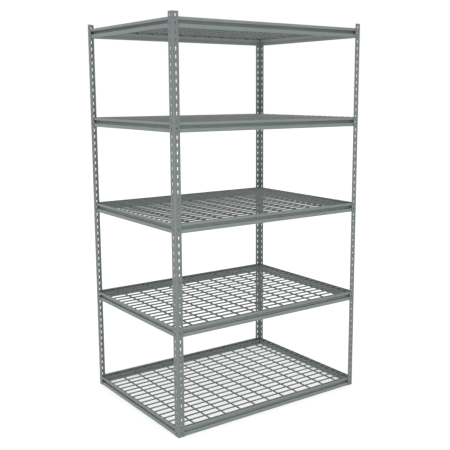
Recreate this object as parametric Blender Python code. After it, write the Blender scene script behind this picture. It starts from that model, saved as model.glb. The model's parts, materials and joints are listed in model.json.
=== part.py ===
"""A free-standing boltless steel shelving unit with five wire decks.

Four slotted angle posts carry five shelf frames. Each frame is four roll-formed beams whose end
rivets hang in the keyholes of the posts, and a welded wire deck lies on the ledges of its beams.
The origin is on the floor under the middle of the unit, +X along the long side, -Y the front.
"""

import math

import bmesh
import bpy
from mathutils import Matrix, Vector

INCH = 0.0254
WIDTH = 48.5 * INCH
DEPTH = 36.5 * INCH
HEIGHT = 84 * INCH
GAP = 0.0003

# Posts: slotted angles with a rounded outer corner.
POST_LEG = 1.44 * INCH
POST_SHEET = 0.0019
POST_CORNER_RADIUS = 0.005
CORNER_STEPS = 3

# Keyholes: one pitch apart on both legs, a wide mouth over a narrow seat.
KEYHOLE_PITCH = 1.5 * INCH
KEYHOLES = 56
TOP_KEYHOLE_DROP = 0.75 * INCH
KEYHOLE_FROM_CORNER = 0.0198
MOUTH_RADIUS = 0.0035
SEAT_RADIUS = 0.0019
MOUTH_ABOVE_CENTRE = 0.003
SEAT_BELOW_CENTRE = 0.01

# Beams: a sheet folded to a lip, a ledge, a sloping web, a floor and a lower lip.
BEAM_SHEET = 0.0015
BEAM_HEIGHT = 1.97 * INCH
LEDGE_HEIGHT = 1.45 * INCH
FLOOR_HEIGHT = 0.78 * INCH
CHANNEL_DEPTH = 0.018
FLOOR_DEPTH = 0.012
MITRE_CLEARANCE = 0.002
BEAM_BELOW_KEYHOLE = 0.73 * INCH

# Rivets: staked in the lower lip, near each end of a beam.
RIVET_SIDES = 8
SHANK_RADIUS = 0.00145
HEAD_RADIUS = 0.0029
HEAD_TOP_RADIUS = 0.0019
HEAD_HEIGHT = 0.0015
TAIL_RADIUS = 0.0027
TAIL_HEIGHT = 0.001

# The keyhole that holds each shelf, counted from the top of a post, lowest shelf first.
SHELF_KEYHOLES = (55, 41, 27, 14, 1)

# Decks: every second wire of the mesh, as a bar as high as two welded wires.
WIRE = 0.0079
WELD_SINK = 0.0009
DECK_LENGTH = 47.8 * INCH
DECK_DEPTH = 35.75 * INCH
CROSS_BARS = 7
LONG_BARS = 10

SHEET_COLOUR = (0.235, 0.262, 0.256, 1.0)
WIRE_COLOUR = (0.125, 0.14, 0.137, 1.0)
PAINT_ROUGHNESS = 0.42
PAINT_METALLIC = 0.15

SIDES = {"front": 0, "right": 90, "back": 180, "left": 270}


def clear_scene():
    for obj in list(bpy.data.objects):
        bpy.data.objects.remove(obj)


def paint(name, colour):
    material = bpy.data.materials.new(name + "_paint")
    material.use_nodes = True
    shader = material.node_tree.nodes["Principled BSDF"]
    shader.inputs["Base Color"].default_value = colour
    shader.inputs["Roughness"].default_value = PAINT_ROUGHNESS
    shader.inputs["Metallic"].default_value = PAINT_METALLIC
    return material


def link(name, mesh, location=(0, 0, 0), turn=0, parent=None):
    obj = bpy.data.objects.new(name, mesh)
    obj.location = location
    obj.rotation_euler = (0, 0, math.radians(turn))
    obj.parent = parent
    bpy.context.collection.objects.link(obj)
    return obj


def hide(cutter):
    cutter.hide_render = True
    cutter.display_type = "WIRE"


def boolean(obj, other, operation):
    modifier = obj.modifiers.new(operation.lower(), "BOOLEAN")
    modifier.operation = operation
    modifier.solver = "EXACT"
    modifier.object = other


def close(mesh_name, bm):
    bmesh.ops.recalc_face_normals(bm, faces=bm.faces)
    mesh = bpy.data.meshes.new(mesh_name)
    bm.to_mesh(mesh)
    bm.free()
    return mesh


def add_loft(bm, rings):
    """A closed solid through rings of the same number of points, with a flat face at each end."""
    loops = [[bm.verts.new(point) for point in ring] for ring in rings]
    for low, high in zip(loops, loops[1:]):
        for i in range(len(low)):
            j = (i + 1) % len(low)
            bm.faces.new((low[i], low[j], high[j], high[i]))
    bm.faces.new(loops[0])
    bm.faces.new(loops[-1])


def arc(centre, radius, start, end, steps):
    """Points from start to end degrees, with both ends."""
    points = []
    for i in range(steps + 1):
        angle = math.radians(start + (end - start) * i / steps)
        points.append(centre + radius * Vector((math.cos(angle), math.sin(angle))))
    return points


def keyhole_height(index):
    return HEIGHT - TOP_KEYHOLE_DROP - KEYHOLE_PITCH * index


def post_section():
    """The angle's outline: outer corner at the origin, one leg along +X and one along +Y."""
    centre = Vector((POST_CORNER_RADIUS, POST_CORNER_RADIUS))
    outer = arc(centre, POST_CORNER_RADIUS, 180, 270, CORNER_STEPS)
    inner = arc(centre, POST_CORNER_RADIUS - POST_SHEET, 270, 180, CORNER_STEPS)
    leg_x = [Vector((POST_LEG, 0)), Vector((POST_LEG, POST_SHEET))]
    leg_y = [Vector((POST_SHEET, POST_LEG)), Vector((0, POST_LEG))]
    return outer + leg_x + inner + leg_y


def post_mesh():
    bm = bmesh.new()
    section = post_section()
    add_loft(bm, [[(p.x, p.y, z) for p in section] for z in (0, HEIGHT)])
    return close("post", bm)


def working_keyhole():
    """The outline of a keyhole that holds a rivet, as (across, up) from its centre."""
    mouth = arc(Vector((0, MOUTH_ABOVE_CENTRE)), MOUTH_RADIUS, 0, 180, 4)
    seat = arc(Vector((0, -SEAT_BELOW_CENTRE)), SEAT_RADIUS, 180, 360, 4)
    return mouth + seat


def spare_keyhole():
    """A four-point outline of the same height, for a keyhole that holds nothing."""
    top = MOUTH_ABOVE_CENTRE + MOUTH_RADIUS
    bottom = -SEAT_BELOW_CENTRE - SEAT_RADIUS
    upper = 0.85 * MOUTH_RADIUS
    lower = 0.6 * SEAT_RADIUS
    return [Vector((upper, top)), Vector((-upper, top)), Vector((-lower, bottom)), Vector((lower, bottom))]


def keyhole_cutter_mesh():
    """Prisms through both legs of a post, one for each keyhole."""
    bm = bmesh.new()
    for index in range(KEYHOLES):
        outline = working_keyhole() if index in SHELF_KEYHOLES else spare_keyhole()
        height = keyhole_height(index)
        through = (-POST_SHEET, 2 * POST_SHEET)
        in_x = [[(KEYHOLE_FROM_CORNER + p.x, depth, height + p.y) for p in outline] for depth in through]
        in_y = [[(depth, KEYHOLE_FROM_CORNER + p.x, height + p.y) for p in outline] for depth in through]
        add_loft(bm, in_x)
        add_loft(bm, in_y)
    return close("keyholes", bm)


def add_posts(root):
    post = post_mesh()
    keyholes = keyhole_cutter_mesh()
    corners = {
        "front_left": (-WIDTH / 2, -DEPTH / 2, 0),
        "front_right": (WIDTH / 2, -DEPTH / 2, 90),
        "back_right": (WIDTH / 2, DEPTH / 2, 180),
        "back_left": (-WIDTH / 2, DEPTH / 2, 270),
    }
    for corner, (x, y, turn) in corners.items():
        name = "post_" + corner
        mesh = post.copy()
        mesh.materials.append(paint(name, SHEET_COLOUR))
        obj = link(name, mesh, (x, y, 0), turn, root)
        cutter = link("keyholes_" + corner, keyholes, (x, y, 0), turn, root)
        hide(cutter)
        boolean(obj, cutter, "DIFFERENCE")


def beam_section():
    """The folded sheet's outline as (inward, up) from the foot of the beam's outer face."""
    sheet = BEAM_SHEET
    web = 1.06 * sheet
    return [
        (0, 0),
        (sheet, 0),
        (sheet, FLOOR_HEIGHT - sheet),
        (FLOOR_DEPTH, FLOOR_HEIGHT - sheet),
        (CHANNEL_DEPTH, LEDGE_HEIGHT),
        (sheet, LEDGE_HEIGHT),
        (sheet, BEAM_HEIGHT),
        (0, BEAM_HEIGHT),
        (0, LEDGE_HEIGHT - sheet),
        (CHANNEL_DEPTH - web, LEDGE_HEIGHT - sheet),
        (FLOOR_DEPTH - web, FLOOR_HEIGHT),
        (0, FLOOR_HEIGHT),
    ]


def beam_mesh(name, span):
    """A beam along X with mitred ends. span is the unit's outer size along the beam."""
    half = span / 2 - POST_SHEET - GAP - MITRE_CLEARANCE
    bm = bmesh.new()
    rings = []
    for end in (-1, 1):
        rings.append([(end * (half - inward), inward, up) for inward, up in beam_section()])
    add_loft(bm, rings)
    return close(name, bm)


def rivet_mesh(name, span):
    """The two rivets of a beam, as turned solids along Y."""
    head_back = -GAP - POST_SHEET - GAP
    profile = [
        (HEAD_TOP_RADIUS, head_back - HEAD_HEIGHT),
        (HEAD_RADIUS, head_back),
        (SHANK_RADIUS, head_back),
        (SHANK_RADIUS, BEAM_SHEET / 2),
        (TAIL_RADIUS, BEAM_SHEET / 2),
        (TAIL_RADIUS, BEAM_SHEET + TAIL_HEIGHT),
    ]
    height = BEAM_BELOW_KEYHOLE - SEAT_BELOW_CENTRE
    bm = bmesh.new()
    for end in (-1, 1):
        across = end * (span / 2 - KEYHOLE_FROM_CORNER)
        rings = []
        for radius, depth in profile:
            ring = []
            for i in range(RIVET_SIDES):
                angle = math.tau * (i + 0.5) / RIVET_SIDES
                ring.append((across + radius * math.cos(angle), depth, height + radius * math.sin(angle)))
            rings.append(ring)
        add_loft(bm, rings)
    return close(name, bm)


def shelf_height(level):
    return keyhole_height(SHELF_KEYHOLES[level - 1]) - BEAM_BELOW_KEYHOLE


def add_beams(root):
    meshes = {}
    for span_name, span in (("long", WIDTH), ("short", DEPTH)):
        beam = beam_mesh(span_name + "_beam", span)
        rivets = rivet_mesh(span_name + "_rivets", span)
        meshes[span_name] = (beam, rivets)
    inset = POST_SHEET + GAP
    for level in range(1, len(SHELF_KEYHOLES) + 1):
        for side, turn in SIDES.items():
            long_side = side in ("front", "back")
            away = (DEPTH if long_side else WIDTH) / 2 - inset
            place = Matrix.Rotation(math.radians(turn), 3, "Z") @ Vector((0, -away, shelf_height(level)))
            beam, rivets = meshes["long" if long_side else "short"]
            name = f"beam_{side}_{level}"
            mesh = beam.copy()
            mesh.materials.append(paint(name, SHEET_COLOUR))
            obj = link(name, mesh, place, turn, root)
            staked = link(f"rivets_{side}_{level}", rivets, place, turn, root)
            hide(staked)
            boolean(obj, staked, "UNION")


def bar_edges(size, count):
    """The edges of evenly spaced bars over a centred span, from low to high."""
    pitch = (size - WIRE) / (count - 1)
    edges = []
    for i in range(count):
        low = -size / 2 + pitch * i
        edges += [low, low + WIRE]
    return edges


def deck_mesh():
    """A lattice of bars in one piece, resting on Z = 0."""
    xs = bar_edges(DECK_LENGTH, CROSS_BARS)
    ys = bar_edges(DECK_DEPTH, LONG_BARS)
    bm = bmesh.new()
    grid = [[bm.verts.new((x, y, 0)) for y in ys] for x in xs]
    for i in range(len(xs) - 1):
        for j in range(len(ys) - 1):
            if i % 2 and j % 2:
                continue
            bm.faces.new((grid[i][j], grid[i + 1][j], grid[i + 1][j + 1], grid[i][j + 1]))
    raised = bmesh.ops.extrude_face_region(bm, geom=bm.faces[:])
    top = [item for item in raised["geom"] if isinstance(item, bmesh.types.BMVert)]
    bmesh.ops.translate(bm, verts=top, vec=(0, 0, 2 * WIRE - WELD_SINK))
    return close("deck", bm)


def add_decks(root):
    deck = deck_mesh()
    for level in range(1, len(SHELF_KEYHOLES) + 1):
        name = f"deck_{level}"
        mesh = deck.copy()
        mesh.materials.append(paint(name, WIRE_COLOUR))
        height = shelf_height(level) + LEDGE_HEIGHT + GAP
        link(name, mesh, (0, 0, height), 0, root)


def main():
    clear_scene()
    root = link("shelving_unit", None)
    add_posts(root)
    add_beams(root)
    add_decks(root)


main()
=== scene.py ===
"""The looks of a boltless steel shelving unit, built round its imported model.

Every post, beam and wire deck of the model is replaced by a finer piece in the same place: posts
rolled round their corner and punched with rounded keyholes, beams folded from sheet with domed
rivets in their ends, and decks welded from round wires at their real pitch.
"""

import json
import math

import bmesh
import bpy
from mathutils import Matrix, Vector

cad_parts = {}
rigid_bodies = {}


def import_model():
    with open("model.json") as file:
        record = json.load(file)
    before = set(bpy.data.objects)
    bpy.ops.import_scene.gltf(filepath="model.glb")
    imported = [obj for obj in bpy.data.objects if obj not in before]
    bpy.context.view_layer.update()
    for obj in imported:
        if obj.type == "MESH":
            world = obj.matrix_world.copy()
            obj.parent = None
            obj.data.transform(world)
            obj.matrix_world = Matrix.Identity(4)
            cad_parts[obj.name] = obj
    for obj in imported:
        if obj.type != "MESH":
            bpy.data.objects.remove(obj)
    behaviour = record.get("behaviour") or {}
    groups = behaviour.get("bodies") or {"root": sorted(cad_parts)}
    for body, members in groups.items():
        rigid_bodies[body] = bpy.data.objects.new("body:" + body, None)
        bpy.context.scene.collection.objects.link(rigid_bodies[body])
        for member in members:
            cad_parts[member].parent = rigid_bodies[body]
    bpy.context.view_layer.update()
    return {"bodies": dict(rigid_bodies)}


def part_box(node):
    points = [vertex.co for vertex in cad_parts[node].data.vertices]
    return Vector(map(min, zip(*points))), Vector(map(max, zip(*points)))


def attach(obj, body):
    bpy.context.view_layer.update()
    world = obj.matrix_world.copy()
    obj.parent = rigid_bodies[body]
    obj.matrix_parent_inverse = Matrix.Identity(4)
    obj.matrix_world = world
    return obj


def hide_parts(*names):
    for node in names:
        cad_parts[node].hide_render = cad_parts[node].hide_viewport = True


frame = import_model()

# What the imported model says.
POST_LOW, POST_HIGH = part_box("post_front_left")
DECK_LOW, DECK_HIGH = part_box("deck_1")
BEAM_LOW, BEAM_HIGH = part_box("beam_front_1")
HALF_WIDTH = -POST_LOW.x
HALF_DEPTH = -POST_LOW.y
HEIGHT = POST_HIGH.z
POST_LEG = POST_HIGH.x - POST_LOW.x
BEAM_HEIGHT = BEAM_HIGH.z - BEAM_LOW.z
LEVELS = sum(name.startswith("shelf_") for name in frame["bodies"])

# The model's own sizes that its boxes don't show, in metres.
GAP = 0.0003
POST_SHEET = 0.0019
POST_CORNER_RADIUS = 0.005
KEYHOLE_PITCH = 0.0381
KEYHOLE_FROM_CORNER = 0.0198
MOUTH_RADIUS = 0.0035
SEAT_RADIUS = 0.0019
MOUTH_ABOVE_CENTRE = 0.003
SEAT_BELOW_CENTRE = 0.01
BEAM_SHEET = 0.0015
FLOOR_HEIGHT = 0.0198
CHANNEL_DEPTH = 0.018
FLOOR_DEPTH = 0.012
MITRE_CLEARANCE = 0.002
BEAM_BELOW_KEYHOLE = 0.01854
LEDGE_HEIGHT = DECK_LOW.z - BEAM_LOW.z - GAP
WIRE = 0.0079

# Finer than the model.
CORNER_STEPS = 8
KEYHOLE_STEPS = 10
FOLD_INNER_RADIUS = 0.0014
FOLD_STEPS = 5
SHEARED_EDGE = 0.0003
RIVET_HEAD_RADIUS = 0.0029
RIVET_HEAD_HEIGHT = 0.0015
RIVET_SHANK_RADIUS = 0.00145
RIVET_TAIL_RADIUS = 0.0027
RIVET_TAIL_HEIGHT = 0.001
RIVET_SEGMENTS = 24
DOME_STEPS = 6
WIRE_SEGMENTS = 12
CROSS_WIRES = 13
LONG_WIRES = 19
WELD_RADIUS = 0.0032
WELD_HEIGHT = 0.0012
WELD_STEPS = 4
WELD_SEGMENTS = 8

# The studio.
FLOOR_HALF = 30
FLOOR_BELOW = 0.0005
FLOOR_TONES = ((0.39, 0.39, 0.39), (0.41, 0.41, 0.41))
FLOOR_MOTTLE_SCALE = 0.8
FLOOR_GLOW = 0.55
HORIZON = 1.01
ZENITH = 1.45
HORIZON_UP_TO = 0.15
ZENITH_FROM = 0.6
KEY_PLACE = (-2.6, -3.4, 1)
KEY_TARGET = (0, 0, 1.1)
KEY_SIZE = (2.4, 1.4)
KEY_STRENGTH = 23
SENSOR = 36
LENS = 59.93
SHIFT = (-0.0390, -0.0162)
CAMERA_PLACE = (-2.4761, -3.5779, 1.7528)
CAMERA_YAW = 36.071
CAMERA_PITCH = 9.475
CAMERA_ROLL = -0.104

# Paint. A scale is a noise's, in metres to the power of -1, and a bump is (strength, depth).
# Posts, beams and wires wear one powder coat. Their three greys differ only to stand in for light and
# shade: the wires' darker grey is painted shade on the decks, and the posts are painted a little darker
# than the beams.
POST_GREY = (0.102, 0.119, 0.117)
BEAM_GREY = (0.126, 0.147, 0.144)
WIRE_GREY_WITH_PAINTED_SHADE = (0.082, 0.096, 0.095)
TONE_SPREAD = 0.05
TONE_SCALE = 9
GLOSS_SCALE = 40
ROUGHNESS = (0.38, 0.5)
PEEL_SCALE = 650
PEEL_BUMP = (0.25, 0.0001)
GRAIN_SCALE = 2600
GRAIN_BUMP = (0.15, 0.00003)

SIDES = {"front": 0, "right": 90, "back": 180, "left": 270}
CORNERS = {"front_left": 0, "front_right": 90, "back_right": 180, "back_left": 270}


def link(name, data, place=Matrix.Identity(4)):
    obj = bpy.data.objects.new(name, data)
    bpy.context.scene.collection.objects.link(obj)
    obj.matrix_world = place
    return obj


def turned(degrees, x, y, z):
    return Matrix.Translation((x, y, z)) @ Matrix.Rotation(math.radians(degrees), 4, "Z")


def smooth(mesh, sharp_from):
    mesh.shade_smooth()
    mesh.set_sharp_from_angle(angle=math.radians(sharp_from))


def baked(name, bm, modifiers, sharp_from=32):
    """The mesh that these modifiers make of bm. Each is (type, {setting: value})."""
    rough = bpy.data.meshes.new(name)
    bm.to_mesh(rough)
    bm.free()
    holder = link(name + "_rough", rough)
    for kind, settings in modifiers:
        modifier = holder.modifiers.new(kind.lower(), kind)
        for key, value in settings.items():
            setattr(modifier, key, value)
    graph = bpy.context.evaluated_depsgraph_get()
    mesh = bpy.data.meshes.new_from_object(holder.evaluated_get(graph))
    mesh.name = name
    bpy.data.objects.remove(holder)
    smooth(mesh, sharp_from)
    return mesh


def sheared_edges():
    """The slight round that every cut edge of the painted sheet has."""
    settings = {
        "width": SHEARED_EDGE,
        "segments": 2,
        "limit_method": "ANGLE",
        "angle_limit": math.radians(40),
    }
    return "BEVEL", settings


def arc(centre, radius, start, end, steps):
    """Points from start to end degrees, with both ends."""
    points = []
    for i in range(steps + 1):
        angle = math.radians(start + (end - start) * i / steps)
        points.append(centre + radius * Vector((math.cos(angle), math.sin(angle))))
    return points


# Posts


def leg_point(along, height):
    """Where a point of the flat sheet's outer face lies once it is rolled. along is 0 at the corner."""
    half_bend = POST_CORNER_RADIUS * math.pi / 4
    past = abs(along) - half_bend
    if past <= 0:
        angle = math.radians(225) + along / POST_CORNER_RADIUS
        x = POST_CORNER_RADIUS * (1 + math.cos(angle))
        y = POST_CORNER_RADIUS * (1 + math.sin(angle))
        return Vector((x, y, height))
    if along > 0:
        return Vector((POST_CORNER_RADIUS + past, 0, height))
    return Vector((0, POST_CORNER_RADIUS + past, height))


def post_columns():
    """The places along the flat sheet of its edges, keyhole centres and bend."""
    half_bend = POST_CORNER_RADIUS * math.pi / 4
    edge = half_bend + POST_LEG - POST_CORNER_RADIUS
    keyhole = half_bend + KEYHOLE_FROM_CORNER - POST_CORNER_RADIUS
    bend = [half_bend * (2 * i / CORNER_STEPS - 1) for i in range(CORNER_STEPS + 1)]
    return [-edge, -keyhole] + bend + [keyhole, edge]


def keyhole_side():
    """A keyhole's right side from its top to its bottom, as (across, up) from its centre."""
    mouth = arc(Vector((0, MOUTH_ABOVE_CENTRE)), MOUTH_RADIUS, 90, 0, KEYHOLE_STEPS)
    seat = arc(Vector((0, -SEAT_BELOW_CENTRE)), SEAT_RADIUS, 360, 270, KEYHOLE_STEPS)
    return mouth + seat


def add_keyhole_cell(bm, left, middle, right, centre):
    """One pitch of a leg round a keyhole. left, middle and right are (low, high) points of the sheet."""
    across, up = centre
    side = keyhole_side()
    rim = [bm.verts.new(leg_point(across + p.x, up + p.y)) for p in side]
    mirrored = [bm.verts.new(leg_point(across - p.x, up + p.y)) for p in side[1:-1]]
    bm.faces.new([middle[0], right[0], right[1], middle[1]] + rim)
    bm.faces.new([left[0], middle[0], rim[-1]] + mirrored[::-1] + [rim[0], middle[1], left[1]])


def post_mesh():
    bm = bmesh.new()
    columns = post_columns()
    rows = round(HEIGHT / KEYHOLE_PITCH)
    levels = [HEIGHT * j / rows for j in range(rows + 1)]
    grid = [[bm.verts.new(leg_point(along, z)) for z in levels] for along in columns]
    for j in range(rows):
        pair = [(column[j], column[j + 1]) for column in grid]
        up = HEIGHT * (j + 0.5) / rows
        add_keyhole_cell(bm, pair[0], pair[1], pair[2], (columns[1], up))
        add_keyhole_cell(bm, pair[-3], pair[-2], pair[-1], (columns[-2], up))
        for near, far in zip(pair[2:-3], pair[3:-2]):
            bm.faces.new((near[0], far[0], far[1], near[1]))
    thicken = ("SOLIDIFY", {"thickness": POST_SHEET, "offset": -1, "use_even_offset": True})
    return baked("post", bm, [thicken, sheared_edges()])


def add_posts(material):
    mesh = post_mesh()
    mesh.materials.append(material)
    for corner, turn in CORNERS.items():
        x = HALF_WIDTH if "right" in corner else -HALF_WIDTH
        y = HALF_DEPTH if "back" in corner else -HALF_DEPTH
        piece = link("rolled_post_" + corner, mesh, turned(turn, x, y, 0))
        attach(piece, "frame")
        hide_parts("post_" + corner)


# Beams


def fold(path, sheet, radius):
    """Both faces of a sheet folded along a path of (across, up) corners, with the sheet on its right.

    Returns the outline of the folded sheet, out along one face and back along the other.
    """
    headings = [(end - start).normalized() for start, end in zip(path, path[1:])]
    rights = [Vector((heading.y, -heading.x)) for heading in headings]
    face = [path[0]]
    back = [path[0] + sheet * rights[0]]
    for i, corner in enumerate(path[1:-1]):
        bend = headings[i].angle_signed(headings[i + 1])
        inside = 1 if bend > 0 else -1
        face_radius = radius + sheet if bend > 0 else radius
        back_radius = radius if bend > 0 else radius + sheet
        tangent = face_radius * math.tan(abs(bend) / 2)
        centre = corner - tangent * headings[i] + inside * face_radius * rights[i]
        for step in range(FOLD_STEPS + 1):
            spoke = Matrix.Rotation(-bend * step / FOLD_STEPS, 2) @ (-inside * rights[i])
            face.append(centre + face_radius * spoke)
            back.append(centre + back_radius * spoke)
    face.append(path[-1])
    back.append(path[-1] + sheet * rights[-1])
    return face + back[::-1]


def beam_outline():
    """The folded sheet's section as (inward, up) from the foot of the beam's outer face."""
    web = 1.06 * BEAM_SHEET
    ledge = LEDGE_HEIGHT - BEAM_SHEET
    path = [
        (0, 0),
        (0, FLOOR_HEIGHT),
        (FLOOR_DEPTH - web, FLOOR_HEIGHT),
        (CHANNEL_DEPTH - web, ledge),
        (0, ledge),
        (0, BEAM_HEIGHT),
    ]
    return fold([Vector(point) for point in path], BEAM_SHEET, FOLD_INNER_RADIUS)


def beam_mesh(name, half_span):
    """A beam along X with mitred ends. half_span is half the unit's outer size along the beam."""
    half = half_span - POST_SHEET - GAP - MITRE_CLEARANCE
    bm = bmesh.new()
    outline = beam_outline()
    ends = [[bm.verts.new((side * (half - p.x), p.x, p.y)) for p in outline] for side in (-1, 1)]
    for i in range(len(outline)):
        j = (i + 1) % len(outline)
        bm.faces.new((ends[0][i], ends[0][j], ends[1][j], ends[1][i]))
    bm.faces.new(ends[0])
    bm.faces.new(ends[1])
    bmesh.ops.recalc_face_normals(bm, faces=bm.faces)
    return baked(name, bm, [sheared_edges()])


def add_turned(bm, profile, place, segments):
    """A closed turned solid. profile is (radius, along the axis) and starts and ends on the axis."""
    spokes = [math.tau * i / segments for i in range(segments)]
    rings = []
    for radius, along in profile[1:-1]:
        points = [Vector((radius * math.cos(a), radius * math.sin(a), along)) for a in spokes]
        rings.append([bm.verts.new(place @ point) for point in points])
    tips = [bm.verts.new(place @ Vector((0, 0, profile[end][1]))) for end in (0, -1)]
    for i in range(segments):
        j = (i + 1) % segments
        bm.faces.new((tips[0], rings[0][j], rings[0][i]))
        bm.faces.new((tips[1], rings[-1][i], rings[-1][j]))
        for low, high in zip(rings, rings[1:]):
            bm.faces.new((low[i], low[j], high[j], high[i]))


def rivet_mesh():
    """A staked rivet along Z, from its domed head to its tail. 0 is the beam's outer face."""
    head_back = -2 * GAP - POST_SHEET
    head_top = head_back - RIVET_HEAD_HEIGHT
    profile = [(0, head_top)]
    for i in range(1, DOME_STEPS + 1):
        angle = math.radians(90 * i / DOME_STEPS)
        rise = RIVET_HEAD_HEIGHT * math.cos(angle)
        profile.append((RIVET_HEAD_RADIUS * math.sin(angle), head_back - rise))
    tail_top = BEAM_SHEET + RIVET_TAIL_HEIGHT
    profile += [
        (RIVET_SHANK_RADIUS, head_back),
        (RIVET_SHANK_RADIUS, BEAM_SHEET),
        (RIVET_TAIL_RADIUS, BEAM_SHEET),
        (RIVET_TAIL_RADIUS, tail_top - SHEARED_EDGE),
        (RIVET_TAIL_RADIUS - SHEARED_EDGE, tail_top),
        (0, tail_top),
    ]
    bm = bmesh.new()
    add_turned(bm, profile, Matrix.Identity(4), RIVET_SEGMENTS)
    bmesh.ops.recalc_face_normals(bm, faces=bm.faces)
    return baked("rivet", bm, [])


def add_beams(material):
    rivet = rivet_mesh()
    rivet.materials.append(material)
    long_beam = beam_mesh("long_beam", HALF_WIDTH)
    short_beam = beam_mesh("short_beam", HALF_DEPTH)
    long_beam.materials.append(material)
    short_beam.materials.append(material)
    long_run = (long_beam, HALF_WIDTH, HALF_DEPTH)
    short_run = (short_beam, HALF_DEPTH, HALF_WIDTH)
    inset = POST_SHEET + GAP
    rivet_height = BEAM_BELOW_KEYHOLE - SEAT_BELOW_CENTRE
    to_axis = Matrix.Rotation(math.radians(-90), 4, "X")
    for level in range(1, LEVELS + 1):
        body = f"shelf_{level}"
        for side, turn in SIDES.items():
            node = f"beam_{side}_{level}"
            mesh, half_span, away = long_run if side in ("front", "back") else short_run
            low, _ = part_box(node)
            foot = turned(turn, 0, 0, low.z) @ Matrix.Translation((0, inset - away, 0))
            beam = link("folded_" + node, mesh, foot)
            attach(beam, body)
            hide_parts(node)
            from_middle = half_span - KEYHOLE_FROM_CORNER
            for end, across in (("a", -from_middle), ("b", from_middle)):
                place = foot @ Matrix.Translation((across, 0, rivet_height)) @ to_axis
                piece = link(f"rivet_{side}_{level}_{end}", rivet, place)
                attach(piece, body)


# Decks


def add_wire(bm, start, end):
    """A round wire with slightly dulled ends."""
    run = end - start
    radius = WIRE / 2
    dulled = 0.2 * radius
    profile = [(0, 0), (radius - dulled, 0), (radius, dulled)]
    profile += [(radius, run.length - dulled), (radius - dulled, run.length), (0, run.length)]
    place = Matrix.Translation(start) @ run.to_track_quat("Z", "Y").to_matrix().to_4x4()
    add_turned(bm, profile, place, WIRE_SEGMENTS)


def add_weld(bm, centre):
    """The metal squeezed out where two wires are welded, as a low rounded collar."""
    profile = []
    for i in range(WELD_STEPS + 1):
        angle = math.radians(180 * i / WELD_STEPS)
        profile.append((WELD_RADIUS * math.sin(angle), -WELD_HEIGHT * math.cos(angle)))
    add_turned(bm, profile, Matrix.Translation(centre), WELD_SEGMENTS)


def spread(half, count):
    """count places from -half to half."""
    return [half * (2 * i / (count - 1) - 1) for i in range(count)]


def deck_mesh():
    """A deck standing on Z = 0: wires across it below, wires along it above, welded where they cross."""
    half_x, half_y = DECK_HIGH.x, DECK_HIGH.y
    radius = WIRE / 2
    crossing = [spread(half_x - radius, CROSS_WIRES), spread(half_y - radius, LONG_WIRES)]
    top = DECK_HIGH.z - DECK_LOW.z
    bm = bmesh.new()
    for x in crossing[0]:
        add_wire(bm, Vector((x, -half_y, radius)), Vector((x, half_y, radius)))
    for y in crossing[1]:
        add_wire(bm, Vector((-half_x, y, top - radius)), Vector((half_x, y, top - radius)))
    for x in crossing[0]:
        for y in crossing[1]:
            add_weld(bm, Vector((x, y, top / 2)))
    bmesh.ops.recalc_face_normals(bm, faces=bm.faces)
    return baked("welded_deck", bm, [])


def add_decks(material):
    mesh = deck_mesh()
    mesh.materials.append(material)
    for level in range(1, LEVELS + 1):
        node = f"deck_{level}"
        low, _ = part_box(node)
        piece = link("welded_" + node, mesh, Matrix.Translation((0, 0, low.z)))
        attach(piece, f"wire_deck_{level}")
        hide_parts(node)


# Materials


class Nodes:
    """Short calls for building a material's nodes."""

    def __init__(self, name):
        self.material = bpy.data.materials.new(name)
        self.material.use_nodes = True
        self.tree = self.material.node_tree
        self.shader = self.tree.nodes["Principled BSDF"]
        self.place = self.add("ShaderNodeTexCoord").outputs["Object"]

    def add(self, kind, **settings):
        node = self.tree.nodes.new(kind)
        for key, value in settings.items():
            setattr(node, key, value)
        return node

    def wire(self, output, target):
        self.tree.links.new(output, target)

    def noise(self, scale, detail):
        node = self.add("ShaderNodeTexNoise")
        node.inputs["Scale"].default_value = scale
        node.inputs["Detail"].default_value = detail
        self.wire(self.place, node.inputs["Vector"])
        return node.outputs["Fac"]

    def spread(self, source, low, high):
        """A noise, which mostly lies between 0.3 and 0.7, spread from low to high."""
        node = self.add("ShaderNodeMapRange")
        node.inputs["From Min"].default_value = 0.3
        node.inputs["From Max"].default_value = 0.7
        node.inputs["To Min"].default_value = low
        node.inputs["To Max"].default_value = high
        self.wire(source, node.inputs["Value"])
        return node.outputs["Result"]

    def blend(self, factor, first, second):
        node = self.add("ShaderNodeMix", data_type="RGBA")
        node.inputs[6].default_value = (*first, 1)
        node.inputs[7].default_value = (*second, 1)
        self.wire(factor, node.inputs[0])
        return node.outputs[2]

    def bump(self, height, strength, distance, below=None):
        node = self.add("ShaderNodeBump")
        node.inputs["Strength"].default_value = strength
        node.inputs["Distance"].default_value = distance
        self.wire(height, node.inputs["Height"])
        if below is not None:
            self.wire(below, node.inputs["Normal"])
        return node.outputs["Normal"]


def powder_coat(name, colour):
    """Satin powder coat: faintly uneven in tone and gloss, with a fine orange peel."""
    nodes = Nodes(name)
    shader = nodes.shader
    lighter = [(1 + TONE_SPREAD) * c for c in colour]
    darker = [(1 - TONE_SPREAD) * c for c in colour]
    tone = nodes.spread(nodes.noise(TONE_SCALE, 5), 0, 1)
    nodes.wire(nodes.blend(tone, darker, lighter), shader.inputs["Base Color"])
    gloss = nodes.spread(nodes.noise(GLOSS_SCALE, 3), *ROUGHNESS)
    nodes.wire(gloss, shader.inputs["Roughness"])
    peel = nodes.bump(nodes.noise(PEEL_SCALE, 2), *PEEL_BUMP)
    grain = nodes.bump(nodes.noise(GRAIN_SCALE, 1), *GRAIN_BUMP, below=peel)
    nodes.wire(grain, shader.inputs["Normal"])
    return nodes.material


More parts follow.
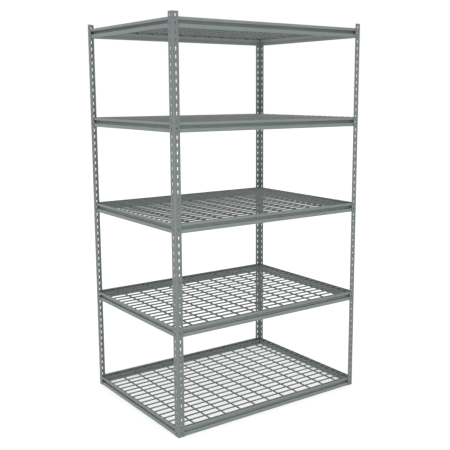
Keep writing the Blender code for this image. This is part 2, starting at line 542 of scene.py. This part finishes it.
def studio_floor():
    """Pale matt floor, with a barely visible mottle."""
    nodes = Nodes("pale_floor")
    tone = nodes.spread(nodes.noise(FLOOR_MOTTLE_SCALE, 4), 0, 1)
    nodes.wire(nodes.blend(tone, *FLOOR_TONES), nodes.shader.inputs["Base Color"])
    nodes.shader.inputs["Roughness"].default_value = 0.9
    nodes.shader.inputs["Specular IOR Level"].default_value = 0.1
    nodes.shader.inputs["Emission Color"].default_value = (1, 1, 1, 1)
    nodes.shader.inputs["Emission Strength"].default_value = FLOOR_GLOW
    return nodes.material


# Studio


def add_floor():
    bm = bmesh.new()
    bmesh.ops.create_grid(bm, x_segments=8, y_segments=8, size=FLOOR_HALF)
    mesh = bpy.data.meshes.new("studio_floor")
    bm.to_mesh(mesh)
    bm.free()
    mesh.materials.append(studio_floor())
    link("studio_floor", mesh, Matrix.Translation((0, 0, -FLOOR_BELOW)))


def add_key():
    """A large soft light beside the camera, a little weaker on the far posts than on the near ones."""
    data = bpy.data.lights.new("key", "AREA")
    data.shape = "RECTANGLE"
    data.size, data.size_y = KEY_SIZE
    data.energy = 1
    data.use_nodes = True
    tree = data.node_tree
    falloff = tree.nodes.new("ShaderNodeLightFalloff")
    falloff.inputs["Strength"].default_value = KEY_STRENGTH
    tree.links.new(falloff.outputs["Linear"], tree.nodes["Emission"].inputs["Strength"])
    aim = (Vector(KEY_TARGET) - Vector(KEY_PLACE)).to_track_quat("-Z", "Y").to_matrix().to_4x4()
    link("key", data, Matrix.Translation(KEY_PLACE) @ aim)


def add_studio():
    world = bpy.data.worlds.new("studio")
    world.use_nodes = True
    tree = world.node_tree
    background = tree.nodes["Background"]
    background.inputs["Color"].default_value = (1, 1, 1, 1)
    direction = tree.nodes.new("ShaderNodeTexCoord")
    split = tree.nodes.new("ShaderNodeSeparateXYZ")
    fade = tree.nodes.new("ShaderNodeMapRange")
    fade.inputs["From Min"].default_value = HORIZON_UP_TO
    fade.inputs["From Max"].default_value = ZENITH_FROM
    fade.inputs["To Min"].default_value = HORIZON
    fade.inputs["To Max"].default_value = ZENITH
    tree.links.new(direction.outputs["Generated"], split.inputs["Vector"])
    tree.links.new(split.outputs["Z"], fade.inputs["Value"])
    tree.links.new(fade.outputs["Result"], background.inputs["Strength"])
    bpy.context.scene.world = world
    add_floor()
    add_key()
    bpy.context.scene.view_settings.view_transform = "Standard"


def add_camera():
    """The view of the front left corner, from eye level, with the unit a little off the lens's axis."""
    data = bpy.data.cameras.new("camera")
    data.sensor_width = SENSOR
    data.lens = LENS
    data.shift_x, data.shift_y = SHIFT
    data.clip_end = 100
    turn = Matrix.Rotation(-math.radians(CAMERA_YAW), 4, "Z")
    tilt = Matrix.Rotation(math.radians(90 - CAMERA_PITCH), 4, "X")
    roll = Matrix.Rotation(math.radians(CAMERA_ROLL), 4, "Z")
    bpy.context.scene.camera = link("camera", data, Matrix.Translation(CAMERA_PLACE) @ turn @ tilt @ roll)


def main():
    add_posts(powder_coat("post_powder_coat", POST_GREY))
    add_beams(powder_coat("beam_powder_coat", BEAM_GREY))
    # The decks get the darker wire grey, which is painted shade.
    add_decks(powder_coat("deck_powder_coat", WIRE_GREY_WITH_PAINTED_SHADE))
    add_studio()
    add_camera()


main()
